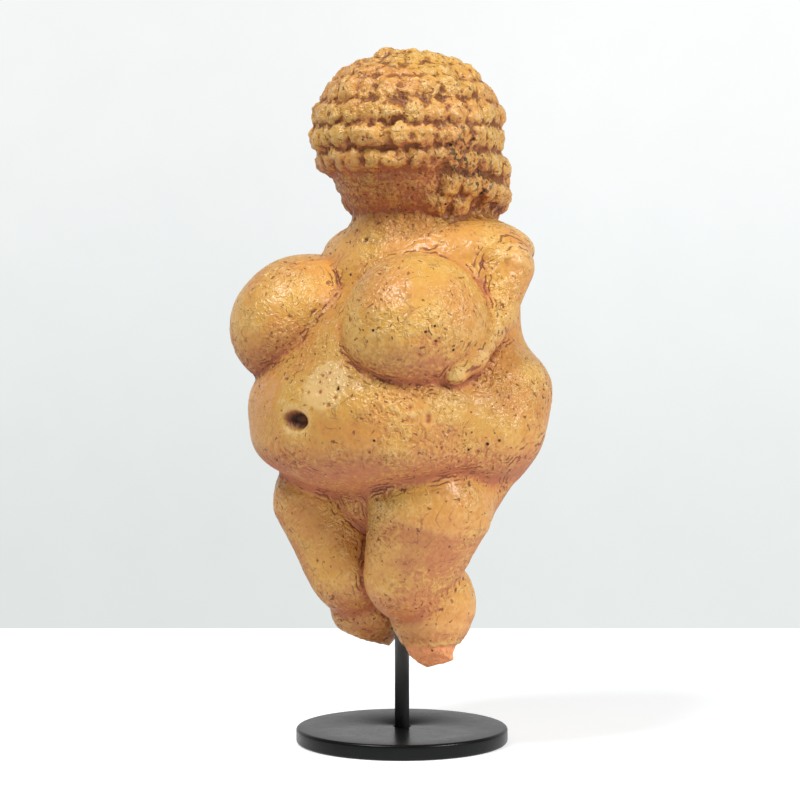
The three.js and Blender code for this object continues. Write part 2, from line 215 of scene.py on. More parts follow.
# The figure's form, in shares of its height from the lower leg end: centre and half-sizes of each mass,
# and for each limb its two ends and two radii. What has an X offset is mirrored to the other side.
figurine = {
    "height": 111 * millimetre,
    "lift": 11.4 * millimetre,
    "masses": {
        "chest": ((0, 0.012, 0.600), (0.190, 0.122, 0.112)),
        "yoke": ((0, 0.060, 0.665), (0.206, 0.120, 0.066)),
        "upperBack": ((0, 0.075, 0.560), (0.162, 0.092, 0.130)),
        "hips": ((0, 0.045, 0.443), (0.247, 0.153, 0.116)),
        "haunch": ((0.155, 0.015, 0.381), (0.099, 0.104, 0.078)),
        "buttock": ((0.098, 0.068, 0.378), (0.108, 0.097, 0.106)),
        "flank": ((0.128, 0.030, 0.305), (0.060, 0.060, 0.050)),
        "thighBack": ((0.078, 0.022, 0.272), (0.074, 0.088, 0.092)),
        "belly": ((0, -0.063, 0.413), (0.229, 0.173, 0.128)),
        "bellyLow": ((0, -0.074, 0.362), (0.212, 0.155, 0.076)),
        "bellyTop": ((0, -0.048, 0.500), (0.160, 0.128, 0.110)),
        "pelvis": ((0, -0.022, 0.285), (0.165, 0.090, 0.080)),
        "web": ((0, -0.015, 0.190), (0.034, 0.047, 0.105)),
        "knee": ((0.076, -0.067, 0.167), (0.060, 0.046, 0.052)),
        "breastUpper": ((0.122, -0.088, 0.566), (0.098, 0.094, 0.092)),
        "breastLower": ((0.134, -0.104, 0.540), (0.106, 0.112, 0.096)),
        "crown": ((0, 0.012, 0.858), (0.145, 0.146, 0.126)),
        "nape": ((0, 0.058, 0.766), (0.128, 0.132, 0.079)),
    },
    "limbs": {
        "neck": ((0, 0.051, 0.640), (0, 0.050, 0.760), 0.142, 0.104),
        "thigh": ((0.109, -0.047, 0.262), (0.063, -0.048, 0.150), 0.099, 0.072),
        "calf": ((0.071, -0.017, 0.130), (0.069, -0.010, 0.092), 0.0625, 0.061),
        "calfMuscle": ((0.070, 0.010, 0.100), (0.069, 0.006, 0.086), 0.061, 0.056),
        "stub": ((0.070, -0.008, 0.072), (0.079, -0.008, -0.010), 0.049, 0.034),
        "upperArm": ((0.184, 0.046, 0.638), (0.190, 0.012, 0.568), 0.045, 0.035),
        "forearm": ((0.190, 0.012, 0.568), (0.212, -0.068, 0.504), 0.035, 0.028),
        "hand": ((0.212, -0.068, 0.504), (0.214, -0.100, 0.480), 0.028, 0.021),
    },
    "blends": {  # how widely each form melts into what it is added to
        "upperBack": 0.05, "yoke": 0.03, "haunch": 0.04, "hips": 0.045, "neck": 0.008,
        "bellyTop": 0.05, "bellyLow": 0.03, "belly": 0.03, "buttock": 0.03,
        "knee": 0.02, "calfMuscle": 0.03, "stub": 0.012, "calf": 0.009, "break": 0.003,
        "web": 0.012, "pelvis": 0.006, "thighBack": 0.03, "flank": 0.03, "legs": 0.018,
        "breastLower": 0.05, "breasts": 0.008, "forearm": 0.012, "hand": 0.01, "arms": 0.005,
        "nape": 0.05, "head": 0.004, "navel": 0.008, "bore": 0.003,
    },
    "sideBlends": {  # how widely the left one of a pair melts into the right one
        "haunch": 0.02, "buttock": 0.01, "thighBack": 0.01, "flank": 0.01,
        "legs": 0.006, "breasts": 0.006, "arms": 0.01,
    },
    "legEnd": (0.070, -0.008),
    "breaks": {  # planes under each leg: slope along X, slope along Y, height
        1: ((-0.45, -0.50, -0.006), (0.30, 0.10, -0.002), (0.60, -0.60, -0.006), (0.05, 0.35, 0.000)),
        -1: ((-0.27, -0.27, 0.034), (0.15, 0.10, 0.006), (0.30, -0.32, 0.020), (-0.10, 0.50, 0.010)),
    },
    "navelCentre": (0, -0.236, 0.402),
    "navelRadius": 0.020,
    "navelStretch": (1.25, 1.0, 0.70),
    "navelEase": 0.7,  # below 1 it keeps the hollow's edge soft
    "boreClearance": 0.3 * millimetre,
    "firstSkinBox": ((-0.28, -0.28, -0.03), (0.28, 0.24, 1.02)),
    "firstSkinCell": 0.6 * millimetre,
    "fineSkinCell": 0.37 * millimetre,
    "mostTriangles": 192_000,
}
figureBase = footHigh.z + figurine["lift"]


def toShares(points):
    return (points - np.array((0, 0, figureBase), np.float32)) / np.float32(figurine["height"])


def toMetres(points):
    return points * figurine["height"] + np.array((0, 0, figureBase))


def softUnion(a, b, blend):
    h = np.maximum(blend - np.abs(a - b), 0) / blend
    return np.minimum(a, b) - h * h * blend / 4


def added(a, b, name):
    return softUnion(a, b, figurine["blends"][name])


def cutTo(a, b, name):
    return -softUnion(-a, -b, figurine["blends"][name])


def mass(p, name, side=1):
    centre, half = figurine["masses"][name]
    q = (p - np.float32((centre[0] * side, *centre[1:]))) / np.float32(half)
    k0 = np.sqrt((q * q).sum(-1))
    k1 = np.sqrt(((q / np.float32(half)) ** 2).sum(-1)) + 1e-9
    return k0 * (k0 - 1) / k1


def limb(p, name, side=1):
    start, end, startRadius, endRadius = figurine["limbs"][name]
    a, b = (np.float32((v[0] * side, *v[1:])) for v in (start, end))
    t = np.clip((p - a) @ (b - a) / ((b - a) @ (b - a)), 0, 1)
    away = p - a - t[..., None] * (b - a)
    return np.sqrt((away * away).sum(-1)) - (startRadius + (endRadius - startRadius) * t)


def bothSides(p, shape, name):
    return softUnion(shape(p, 1), shape(p, -1), figurine["sideBlends"][name])


def massPair(p, name):
    return bothSides(p, lambda at, side: mass(at, name, side), name)


def breakDepth(p, side):
    x, y = figurine["legEnd"]
    cuts = []
    for slopeX, slopeY, height in figurine["breaks"][side]:
        plane = height + slopeX * (p[..., 0] - x * side) + slopeY * (p[..., 1] - y) - p[..., 2]
        cuts.append(plane / math.hypot(slopeX, slopeY, 1))
    return np.maximum.reduce(cuts)


def wholeLeg(p, side):
    thigh = added(limb(p, "thigh", side), mass(p, "knee", side), "knee")
    calf = added(limb(p, "calf", side), limb(p, "calfMuscle", side), "calfMuscle")
    return added(thigh, added(calf, limb(p, "stub", side), "stub"), "calf")


def leg(p, side):
    return cutTo(wholeLeg(p, side), breakDepth(p, side), "break")


def arm(p, side):
    bent = added(limb(p, "upperArm", side), limb(p, "forearm", side), "forearm")
    return added(bent, limb(p, "hand", side), "hand")


def breast(p, side):
    return added(mass(p, "breastUpper", side), mass(p, "breastLower", side), "breastLower")


def head(p):
    return added(mass(p, "crown"), mass(p, "nape"), "nape")


def body(p):
    d = added(mass(p, "chest"), mass(p, "upperBack"), "upperBack")
    d = added(d, mass(p, "yoke"), "yoke")
    d = added(d, added(mass(p, "hips"), massPair(p, "haunch"), "haunch"), "hips")
    d = added(d, limb(p, "neck"), "neck")
    belly = added(mass(p, "belly"), mass(p, "bellyTop"), "bellyTop")
    d = added(d, added(belly, mass(p, "bellyLow"), "bellyLow"), "belly")
    d = added(d, massPair(p, "buttock"), "buttock")
    legs = bothSides(p, leg, "legs")
    for name in ("web", "pelvis"):
        legs = added(legs, mass(p, name), name)
    for name in ("thighBack", "flank"):
        legs = added(legs, massPair(p, name), name)
    d = added(d, legs, "legs")
    d = added(d, bothSides(p, breast, "breasts"), "breasts")
    return added(d, bothSides(p, arm, "arms"), "arms")


def navelDistance(p):
    offset = (p - np.float32(figurine["navelCentre"])) / np.float32(figurine["navelStretch"])
    return np.sqrt((offset ** 2).sum(-1))


def figure(p):
    d = added(body(p), head(p), "head")
    d = cutTo(d, figurine["navelEase"] * (figurine["navelRadius"] - navelDistance(p)), "navel")
    boreRadius = (rodHigh.x + figurine["boreClearance"]) / figurine["height"]
    boreTop = (rodHigh.z + figurine["boreClearance"] - figureBase) / figurine["height"]
    bore = np.maximum(np.sqrt(p[..., 0] ** 2 + p[..., 1] ** 2) - boreRadius, p[..., 2] - boreTop)
    return cutTo(d, -bore, "bore")


# One point for each grid cell that the surface passes through, one face for each grid edge that it crosses
def gridSkin(form, low, high, cell):
    counts = [math.ceil((h - l) / cell) + 1 for l, h in zip(low, high)]
    lines = [l + cell * np.arange(n, dtype=np.float32) for l, n in zip(low, counts)]
    slab = 20  # layers worked out at a time, to save memory
    slabs = [np.stack(np.meshgrid(lines[0], lines[1], lines[2][k:k + slab], indexing="ij"), -1)
             for k in range(0, counts[2], slab)]
    depth = np.concatenate([form(points.astype(np.float32)) for points in slabs], axis=2)
    crossings, rounds = [], []
    for axis in range(3):
        ahead = np.roll(depth, -1, axis)
        at = np.argwhere((depth < 0) != (ahead < 0))
        a, b = depth[tuple(at.T)], ahead[tuple(at.T)]
        point = at.astype(float)
        point[:, axis] += a / (a - b)
        corners = np.stack([at] * 4, 1)
        for k, (back, down) in enumerate(((0, 0), (1, 0), (1, 1), (0, 1))):
            corners[:, k, (axis + 1) % 3] -= back
            corners[:, k, (axis + 2) % 3] -= down
        keys = np.ravel_multi_index(corners.reshape(-1, 3).T, counts).reshape(-1, 4)
        keys[a >= 0] = keys[a >= 0, ::-1]
        crossings.append(point)
        rounds.append(keys)
    crossings, rounds = np.concatenate(crossings), np.concatenate(rounds)
    used, faces = np.unique(rounds, return_inverse=True)
    faces = faces.reshape(-1, 4)
    total = np.zeros((len(used), 3))
    for k in range(4):
        np.add.at(total, faces[:, k], crossings)
    hits = np.bincount(faces.ravel(), minlength=len(used))
    return np.array(low) + cell * total / hits[:, None], faces


def slopeOf(form, points, step=0.0005):
    shifts = np.float32(np.eye(3) * step)
    return np.stack([form(points + shift) - form(points - shift) for shift in shifts], -1) / (2 * step)


# Points moved along the slope until they lie on the surface
def settled(form, points, farthest, steps=3, leastSlope=0.2):
    for _ in range(steps):
        slope = slopeOf(form, points)
        move = form(points) / np.maximum((slope * slope).sum(-1), leastSlope)
        points = points - slope * np.clip(move, -farthest, farthest)[:, None]
    return points


# The cap of beads: tiers at equal angles from the crown, every second tier shifted by half a bead
hairCap = {
    "headCentre": (0, 0.015, 0.850),  # in shares of the figure's height, as the sizes are
    "sizes": {
        "Head Radius": 0.145,
        "Bead Width": 0.034,
        "Bead Rise": 0.0108,
        "Bead Sink": 0.009,
    },
    "angles": {  # in degrees
        "First Tier Angle": 17.5,
        "Tier Pitch": 15,
        "Hairline Front": 112,
        "Hairline Back": 152,
        "Face Half Angle": 62,
        "Face Edge": 12,
    },
    "ratios": {
        "Bead Fullness": 1.34,
        "Bead Height": 1.12,
        "Bead Squareness": 3.4,
        "Bead Narrowing": 0.20,
        "Crown Flatness": 0.45,
        "Flattening From": 0.35,  # height of a bead on the head, from 0 at its middle to 1 at the crown
        "Flattening To": 0.95,
        "Farthest": 1.4,
        "Unevenness": 0.18,
    },
    "counts": {"Tiers": 9, "Fewest Beads": 6, "Seed": 7},
}


def hairCapValues():
    values = {"Head Centre": tuple(toMetres(np.array(hairCap["headCentre"])))}
    values.update((label, share * figurine["height"]) for label, share in hairCap["sizes"].items())
    values.update((label, math.radians(angle)) for label, angle in hairCap["angles"].items())
    return {**values, **hairCap["ratios"], **hairCap["counts"]}


def hairCapTree(values):
    tree, given, result = newTree("hairCap", "GeometryNodeTree", values)

    # A ring of directions for each tier
    start = tree.nodes.new("GeometryNodeRepeatInput")
    end = tree.nodes.new("GeometryNodeRepeatOutput")
    start.pair_with_output(end)
    end.repeat_items.clear()
    end.repeat_items.new("GEOMETRY", "Directions")
    feed(tree, start.inputs["Iterations"], given["Tiers"])
    tier = Field(tree, start.outputs["Iteration"])
    down = tier * given["Tier Pitch"] + given["First Tier Angle"]
    level, rise = calc(tree, "SINE", down), calc(tree, "COSINE", down)
    roundTier = level * (given["Head Radius"] * math.tau)
    beads = highest(calc(tree, "ROUND", roundTier / given["Bead Width"]), given["Fewest Beads"])
    ring = addField(tree, "GeometryNodeMeshCircle", {"Vertices": beads, "Radius": level}, fill_type="NONE")
    halfBeads = calc(tree, "MODULO", tier, 2) * 0.5 + 0.5
    turn = halfBeads * math.tau / beads - math.pi / 2
    placed = addField(tree, "GeometryNodeTransform", {
        "Geometry": ring,
        "Translation": addField(tree, "ShaderNodeCombineXYZ", {"Z": rise}),
        "Rotation": addField(tree, "ShaderNodeCombineXYZ", {"Z": turn}),
    })
    feed(tree, end.inputs["Directions"], joinGeometry(tree, start.outputs["Directions"], placed))

    # One more bead on the crown, and none on the blank face
    crown = addField(tree, "GeometryNodeMeshLine", {"Count": 1, "Start Location": (0, 0, 1)})
    directions = joinGeometry(tree, end.outputs["Directions"], crown)
    position = addField(tree, "GeometryNodeInputPosition")
    x, y, z = splitVector(tree, position)
    fromFront = abs(calc(tree, "ARCTAN2", x, y * -1))
    faceEnd = given["Face Half Angle"] + given["Face Edge"]
    hairline = fromFront.remap(given["Face Half Angle"], faceEnd,
                               given["Hairline Front"], given["Hairline Back"])
    bare = addField(tree, "FunctionNodeCompare", {"A": calc(tree, "ARCCOSINE", z), "B": hairline},
                    data_type="FLOAT", operation="GREATER_THAN")

    # Each direction lands on the head's skin, and one that would reach the shoulders has no bead
    hit = addNode(tree, "GeometryNodeRaycast", {
        "Target Geometry": given["Geometry"],
        "Source Position": given["Head Centre"],
        "Ray Direction": position,
        "Ray Length": given["Head Radius"] * given["Farthest"],
    })
    missed = addField(tree, "FunctionNodeBooleanMath", {0: hit.outputs["Is Hit"]}, operation="NOT")
    unused = addField(tree, "FunctionNodeBooleanMath", {0: bare, 1: missed}, operation="OR")
    kept = addField(tree, "GeometryNodeDeleteGeometry", {"Geometry": directions, "Selection": unused},
                    domain="POINT")
    sunk = calcVector(tree, "SCALE", hit.outputs["Hit Normal"], given["Bead Sink"] * -1)
    landed = calcVector(tree, "ADD", hit.outputs["Hit Position"], sunk)
    catch = tree.nodes.new("GeometryNodeCaptureAttribute")
    for kind, label in (("VECTOR", "Normal"), ("VECTOR", "Along"), ("FLOAT", "Level")):
        catch.capture_items.new(kind, label)
    along = calcVector(tree, "CROSS_PRODUCT", (0, 0, 1), position)
    caught = {"Geometry": kept, "Normal": hit.outputs["Hit Normal"], "Along": along, "Level": z}
    for label, value in caught.items():
        feed(tree, catch.inputs[label], value)
    onSkin = addField(tree, "GeometryNodeSetPosition",
                      {"Geometry": catch.outputs["Geometry"], "Position": landed})
    upright = addField(tree, "FunctionNodeAlignRotationToVector", {"Vector": catch.outputs["Normal"]},
                       axis="Z")
    turned = addField(tree, "FunctionNodeAlignRotationToVector",
                      {"Rotation": upright, "Vector": catch.outputs["Along"]}, axis="X", pivot_axis="Z")

    # Uneven beads, as wide as their tier leaves room for, and flatter towards the crown
    low = 1 - given["Unevenness"]
    high = given["Unevenness"] * 0.5 + 1
    own = addField(tree, "GeometryNodeInputIndex")

    def unevenly(size, order):
        shares = addNode(tree, "FunctionNodeRandomValue", data_type="FLOAT")
        for label, value in (("Min", low), ("Max", high), ("Seed", given["Seed"] + order), ("ID", own)):
            feed(tree, enabledSocket(shares.inputs, label), value)
        return size * enabledSocket(shares.outputs, "Value")

    across = given["Bead Width"] * 0.5 * given["Bead Fullness"]
    upDown = given["Head Radius"] * given["Tier Pitch"] * 0.5 * given["Bead Height"]
    crownward = Field(tree, catch.outputs["Level"]).remap(given["Flattening From"], given["Flattening To"])
    proud = given["Bead Rise"] * (1 - crownward * given["Crown Flatness"]) + given["Bead Sink"]
    scale = addField(tree, "ShaderNodeCombineXYZ", {
        "X": unevenly(across, 0),
        "Y": unevenly(upDown, 1),
        "Z": unevenly(proud, 2),
    })

    # A ball pressed towards a box, narrower at its lower end
    ball = addField(tree, "GeometryNodeMeshIcoSphere", {"Radius": 1.0, "Subdivisions": 2})
    squareness = given["Bead Squareness"]
    powers = [calc(tree, "POWER", abs(value), squareness) for value in (x, y, z)]
    boxy = 1 / calc(tree, "POWER", powers[0] + powers[1] + powers[2], 1 / squareness)
    wide = y * boxy * given["Bead Narrowing"] + 1
    shaped = addField(tree, "ShaderNodeCombineXYZ", {"X": x * boxy * wide, "Y": y * boxy, "Z": z * boxy})
    bead = addField(tree, "GeometryNodeSetPosition", {"Geometry": ball, "Position": shaped})
    beadsOn = addField(tree, "GeometryNodeInstanceOnPoints", {
        "Points": onSkin,
        "Instance": bead,
        "Rotation": turned,
        "Scale": scale,
    })
    real = addField(tree, "GeometryNodeRealizeInstances", {"Geometry": beadsOn})
    return endInMaterial(tree, given, result, joinGeometry(tree, real, given["Geometry"]))


# The cast skin: broad unevenness, crumbly patches, worm-like wrinkles, dents and open pits
castSkin = {
    "Warp Size": 5.0 * millimetre,
    "Warp Reach": 0.60 * millimetre,
    "Hair Warp": 4.0,
    "Lump Size": 11 * millimetre,
    "Lump Height": 0.35 * millimetre,
    "Patch Size": 12 * millimetre,
    "Patch Low": 0.46,  # a cloud's mask begins at Low and is whole at High
    "Patch High": 0.60,
    "Smooth Roughness": 0.25,
    "Hair Roughness": 1.9,
    "Crude Roughness": 1.8,
    "Crumb Size": 2.2 * millimetre,
    "Crumb Height": 0.26 * millimetre,
    "Hair Fineness": 0.9,
    "Wrinkle Size": 1.5 * millimetre,
    "Wrinkle Height": 0.22 * millimetre,
    "Wrinkle Width": 0.15,
    "Dent Spacing": 1.7 * millimetre,
    "Dent Depth": 0.38 * millimetre,
    "Dent Floor": 0.12,  # in shares of the spacing
    "Dent Rim": 0.42,
    "Dent Patch Low": 0.52,
    "Dent Patch High": 0.64,
    "Stray Dents": 0.5,
    "Chip Size": 2.4 * millimetre,
    "Chip Depth": 0.30 * millimetre,
    "Break Raggedness": 1.1,
    "Break Low": 0.35,
    "Break High": 0.6,
    "Pit Spacing": 6.0 * millimetre,
    "Pit Radius": 0.70 * millimetre,
    "Pit Depth": 0.60 * millimetre,
    "Pit Floor": 0.35,  # in shares of the pit's own radius
    "Pitless Share": 0.45,
    "Least Pit": 0.02,
    "Cavity Reach": 0.14 * millimetre,
    "Cavity Rounds": 10,
}


def castSkinTree():
    tree, given, result = newTree("castSkin", "GeometryNodeTree", castSkin)
    position = addField(tree, "GeometryNodeInputPosition")
    normal = addField(tree, "GeometryNodeInputNormal")
    hair, crude, dented, fresh = (
        addField(tree, "GeometryNodeInputNamedAttribute", {"Name": name}, data_type="FLOAT")
        for name in ("hair", "crude", "dented", "fresh"))

    def perSize(label):
        return 1 / given[label]

    def swing(value, height):
        return (value * 2 - 1) * height

    def setAside(geometry, name, value):
        inputs = {"Geometry": geometry, "Name": name, "Value": value}
        return addField(tree, "GeometryNodeStoreNamedAttribute", inputs, data_type="FLOAT", domain="POINT")

    # The beads are pushed about sideways
    push = wander(tree, position, perSize("Warp Size"), given["Warp Reach"] * (hair * given["Hair Warp"]))
    pushed = addField(tree, "GeometryNodeSetPosition", {"Geometry": given["Geometry"], "Offset": push})

    lumps = swing(noise(tree, position, perSize("Lump Size"), 1.0), given["Lump Height"])
    patch = noise(tree, position, perSize("Patch Size")).remap(given["Patch Low"], given["Patch High"])
    patch = highest(patch, crude)
    rough = patch * (1 - given["Smooth Roughness"]) + given["Smooth Roughness"]
    rough = highest(rough, hair * given["Hair Roughness"], crude * given["Crude Roughness"])
    crumbs = noise(tree, position, perSize("Crumb Size") * (hair * given["Hair Fineness"] + 1), 4.0, 0.6, 0.4)
    crumbs = swing(crumbs, given["Crumb Height"]) * rough
    ridges = abs(noise(tree, position, perSize("Wrinkle Size"), distortion=1.2) * 2 - 1)
    wrinkles = (given["Wrinkle Width"] - ridges) * given["Wrinkle Height"]

    fromDent = cells(tree, position, perSize("Dent Spacing"))[0]
    dents = fromDent.remap(given["Dent Floor"], given["Dent Rim"], 1.0, 0.0)
    dentPatch = noise(tree, position, perSize("Patch Size"), 2.0, 0.6, 1.0)
    dentPatch = dentPatch.remap(given["Dent Patch Low"], given["Dent Patch High"]) * given["Stray Dents"]
    dents = dents * (highest(dentPatch, dented) * given["Dent Depth"])

    # The fresh break starts at a ragged edge and is made of small facets
    ragged = swing(noise(tree, position, perSize("Chip Size"), 3.0, 0.6), given["Break Raggedness"])
    chipped = (fresh + ragged * fresh).remap(given["Break Low"], given["Break High"])
    facets = cells(tree, position, perSize("Chip Size"))[0]
    chips = (facets * given["Chip Depth"] + given["Chip Depth"]) * chipped

    fromPit, chance = cells(tree, position, perSize("Pit Spacing"))
    reach = given["Pit Radius"] / given["Pit Spacing"]
    reach = reach * chance.remap(given["Pitless Share"], 1.0, kind="LINEAR")
    pit = fromPit.remap(reach * given["Pit Floor"], reach, 1.0, 0.0)
    pit = pit * calc(tree, "GREATER_THAN", reach, given["Least Pit"])

    whole = crumbs + wrinkles - (dents + chips) + lumps - pit * given["Pit Depth"]
    masked = setAside(setAside(setAside(pushed, "pit", pit), "patch", patch), "fresh", chipped)
    moved = addField(tree, "GeometryNodeSetPosition",
                     {"Geometry": masked, "Offset": calcVector(tree, "SCALE", normal, whole)})

    # How far each point lies under the average of those round it
    around = addNode(tree, "GeometryNodeBlurAttribute", {"Iterations": given["Cavity Rounds"]},
                     data_type="FLOAT_VECTOR")
    feed(tree, enabledSocket(around.inputs, "Value"), position)
    average = enabledSocket(around.outputs, "Value")
    under = calcVector(tree, "DOT_PRODUCT", calcVector(tree, "SUBTRACT", average, position), normal)
    finished = setAside(moved, "cavity", under / given["Cavity Reach"])
    return endInMaterial(tree, given, result,
                         addField(tree, "GeometryNodeRealizeInstances", {"Geometry": finished}))


# Colours are given as they look on a screen, 0 to 255
def tone(red, green, blue):
    def linear(value):
        share = value / 255
        return share / 12.92 if share <= 0.04045 else ((share + 0.055) / 1.055) ** 2.4
    return (linear(red), linear(green), linear(blue), 1.0)


def mixColour(tree, share, first, second):
    made = addNode(tree, "ShaderNodeMix", data_type="RGBA", blend_type="MIX", clamp_factor=True)
    sockets = {socket.identifier: socket for socket in made.inputs}
    for identifier, value in (("Factor_Float", share), ("A_Color", first), ("B_Color", second)):
        feed(tree, sockets[identifier], value)
    return Field(tree, next(socket for socket in made.outputs if socket.identifier == "Result_Color"))


# Blotches: a soft mask of a given size, for colour that wanders over a surface
def blotchGroup():
    values = {"Vector": (0.0, 0.0, 0.0), "Size": 0.01, "Low": 0.4, "High": 0.6, "Detail": 3.0}
    tree, given, result = newTree("blotches", "ShaderNodeTree", values, ["Mask"])
    cloud = noise(tree, given["Vector"], 1 / given["Size"], given["Detail"], 0.55)
    feed(tree, result["Mask"], cloud.remap(given["Low"], given["High"]))
    return tree


# Grain: fine bumps of a given size, as a height for a Bump node
def grainGroup():
    values = {"Vector": (0.0, 0.0, 0.0), "Size": 0.001, "Roughness": 0.6}
    tree, given, result = newTree("grain", "ShaderNodeTree", values, ["Height"])
    feed(tree, result["Height"], noise(tree, given["Vector"], 1 / given["Size"], 4.0, given["Roughness"]))
    return tree


# Cast detail too fine for the mesh. Sizes and heights are in millimetres, and a place is the size of a cloud
# with the values between which the detail comes out of it.
fineDetail = {
    "wrinkle": {"bend": (2.2, 1.8), "size": 0.95, "width": 0.24, "place": (7.0, 0.44, 0.58), "height": 0.08},
    "blister": {"bend": (1.2, 0.6), "spacing": 1.2, "edge": (0.10, 0.45), "chance": (0.50, 0.85),
                "place": (8.0, 0.45, 0.56), "height": 0.13},
    "granule": {"size": 0.60, "smoothHeight": 0.09, "roughHeight": 0.34},
    "swell": {"size": 2.2, "place": (9.0, 0.35, 0.60, 0.3, 1.2), "height": 0.30},
    "scratch": {"bend": (1.6, 1.2), "size": 3.2, "width": 0.022, "place": (4.0, 0.50, 0.58), "darkness": 0.5},
    "line": {"pitch": 0.0085, "wander": (3.0, 2.6), "reach": 0.05, "place": (2.5, 0.40, 0.60),
             "dark": (-0.9, -0.35), "height": 0.05},
    "fleck": {"size": 0.9, "edge": (0.250, 0.300), "moreWhereRough": 0.055, "height": -0.09},
    "bubble": {"spacing": 1.7, "place": (8.0, 0.54, 0.68, 0.95, 0.75), "moreWhereHoled": 0.55,
               "leastChance": 0.3, "radius": (0.05, 0.18), "widerWhereHoled": 0.10, "floor": 0.6,
               "height": -0.3},
}


# Tangled raised wrinkles, blisters and granules, lines along the creases, and flecks and open bubbles sunk
# between them, as a height in millimetres and as masks for colour
def castDetailGroup():
    values = {"Vector": (0.0, 0.0, 0.0), "Rough": 0.5, "Holed": 0.0, "Crease": 0.1}
    outputs = ["Height", "Raised", "Fleck", "Bubble"]
    tree, given, result = newTree("castDetail", "ShaderNodeTree", values, outputs)
    vector, rough, holed, crease = (given[label] for label in values)

    def cloud(size, detail=2.0, at=vector):
        return noise(tree, at, 1 / (size * millimetre), detail)

    def bent(part):
        size, reach = fineDetail[part]["bend"]
        push = wander(tree, vector, 1 / (size * millimetre), reach * millimetre)
        return calcVector(tree, "ADD", vector, push)

    def placed(part):
        size, *edges = fineDetail[part]["place"]
        return cloud(size).remap(*edges)

    part = fineDetail["wrinkle"]
    bentVector = bent("wrinkle")
    fold = abs(cloud(part["size"], 0.5, at=bentVector) * 2 - 1)
    wrinkle = fold.remap(0.0, part["width"], 1.0, 0.0) * placed("wrinkle")

    part = fineDetail["blister"]
    fromMiddle, chance = cells(tree, bent("blister"), 1 / (part["spacing"] * millimetre))
    blister = fromMiddle.remap(*part["edge"], 1.0, 0.0) * chance.remap(*part["chance"]) * placed("blister")
    granule = cloud(fineDetail["granule"]["size"], 1.0) - 0.5
    swell = (cloud(fineDetail["swell"]["size"], 1.0) - 0.5) * placed("swell")

    # Thin bent scratches, here and there
    part = fineDetail["scratch"]
    drawn = abs(cloud(part["size"], 0.5, at=bent("scratch")) - 0.5)
    scratch = drawn.remap(0.0, part["width"], 1.0, 0.0) * placed("scratch")

    # Lines that run beside a crease and fade out away from it
    part = fineDetail["line"]
    size, reach = part["wander"]
    rows = cloud(size) * reach + crease * (1 / part["pitch"])
    beside = crease.remap(0.0, part["reach"], 1.0, 0.0) * placed("line")
    line = calc(tree, "SINE", rows * math.tau) * beside

    part = fineDetail["fleck"]
    sparse = cloud(part["size"], 1.0, at=bentVector) - rough * part["moreWhereRough"]
    fleck = highest(sparse.remap(*part["edge"], 1.0, 0.0), line.remap(*fineDetail["line"]["dark"], 1.0, 0.0),
                    scratch * fineDetail["scratch"]["darkness"])

    part = fineDetail["bubble"]
    fromMiddle, chance = cells(tree, vector, 1 / (part["spacing"] * millimetre), "Green")
    needed = highest(placed("bubble") - holed * part["moreWhereHoled"], part["leastChance"])
    least, most = part["radius"]
    radius = chance.remap(needed, 1.0, least, holed * part["widerWhereHoled"] + most, "LINEAR")
    bubble = fromMiddle.remap(radius * part["floor"], radius, 1.0, 0.0)
    bubble = bubble * calc(tree, "GREATER_THAN", chance, needed)

    granuleHeight = rough * fineDetail["granule"]["roughHeight"] + fineDetail["granule"]["smoothHeight"]
    height = granule * granuleHeight
    for name, value in (("wrinkle", wrinkle), ("blister", blister), ("swell", swell), ("line", line),
                        ("fleck", fleck), ("bubble", bubble)):
        height = value * fineDetail[name]["height"] + height
    for label, value in zip(outputs, (height, highest(wrinkle, blister), fleck, bubble)):
        feed(tree, result[label], value)
    return tree


blotches, grain, castDetail = blotchGroup(), grainGroup(), castDetailGroup()


def useGroup(tree, group, vector, **values):
    made = addNode(tree, "ShaderNodeGroup", {"Vector": vector, **values}, node_tree=group)
    return {socket.name: Field(tree, socket) for socket in made.outputs}


def blotchMask(tree, vector, size, low, high):
    return useGroup(tree, blotches, vector, Size=size, Low=low, High=high)["Mask"]


def newMaterial(name):
    material = bpy.data.materials.new(name)
    material.use_nodes = True
    tree = material.node_tree
    coords = Field(tree, tree.nodes.new("ShaderNodeTexCoord").outputs["Object"])
    return material, tree, tree.nodes["Principled BSDF"].inputs, coords


def addBump(tree, sockets, height, distance):
    bump = addField(tree, "ShaderNodeBump", {"Strength": 1.0, "Distance": distance, "Height": height})
    feed(tree, sockets["Normal"], bump)


